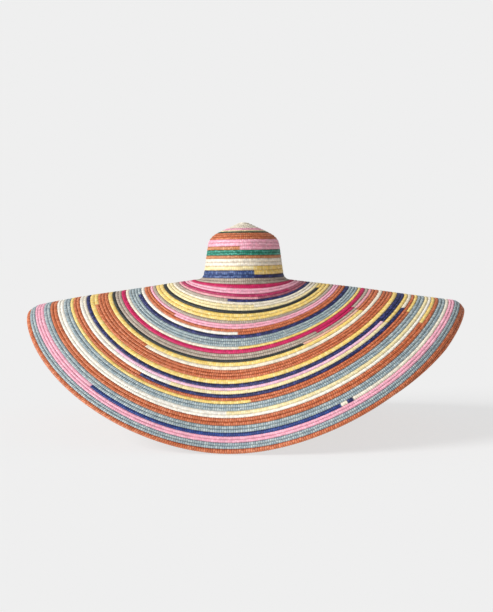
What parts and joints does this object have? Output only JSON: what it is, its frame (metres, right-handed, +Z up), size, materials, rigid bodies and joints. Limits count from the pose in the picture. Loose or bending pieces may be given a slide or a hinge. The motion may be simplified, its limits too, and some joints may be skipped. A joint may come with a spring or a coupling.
{
  "type": "straw hat",
  "caption": "Very wide soft straw hat with a small domed crown and a brim that hangs at front and back, plaited in coloured stripes.",
  "frame": {"origin": "middle of the underside of the hat's box, on the surface that its brim stands on", "axes": "+Z up through the crown, +X along the level sides of the brim, -Y towards the front of the hat"},
  "size_m": [0.9456, 0.6434, 0.4458],
  "materials": {
    "crown_straw": "plaited straw braid sewn in rows, satin",
    "brim_straw": "plaited straw braid sewn in rows, satin"
  },
  "bodies": {
    "root": {"crown": "crown_straw", "brim": "brim_straw"}
  },
  "joints": []
}
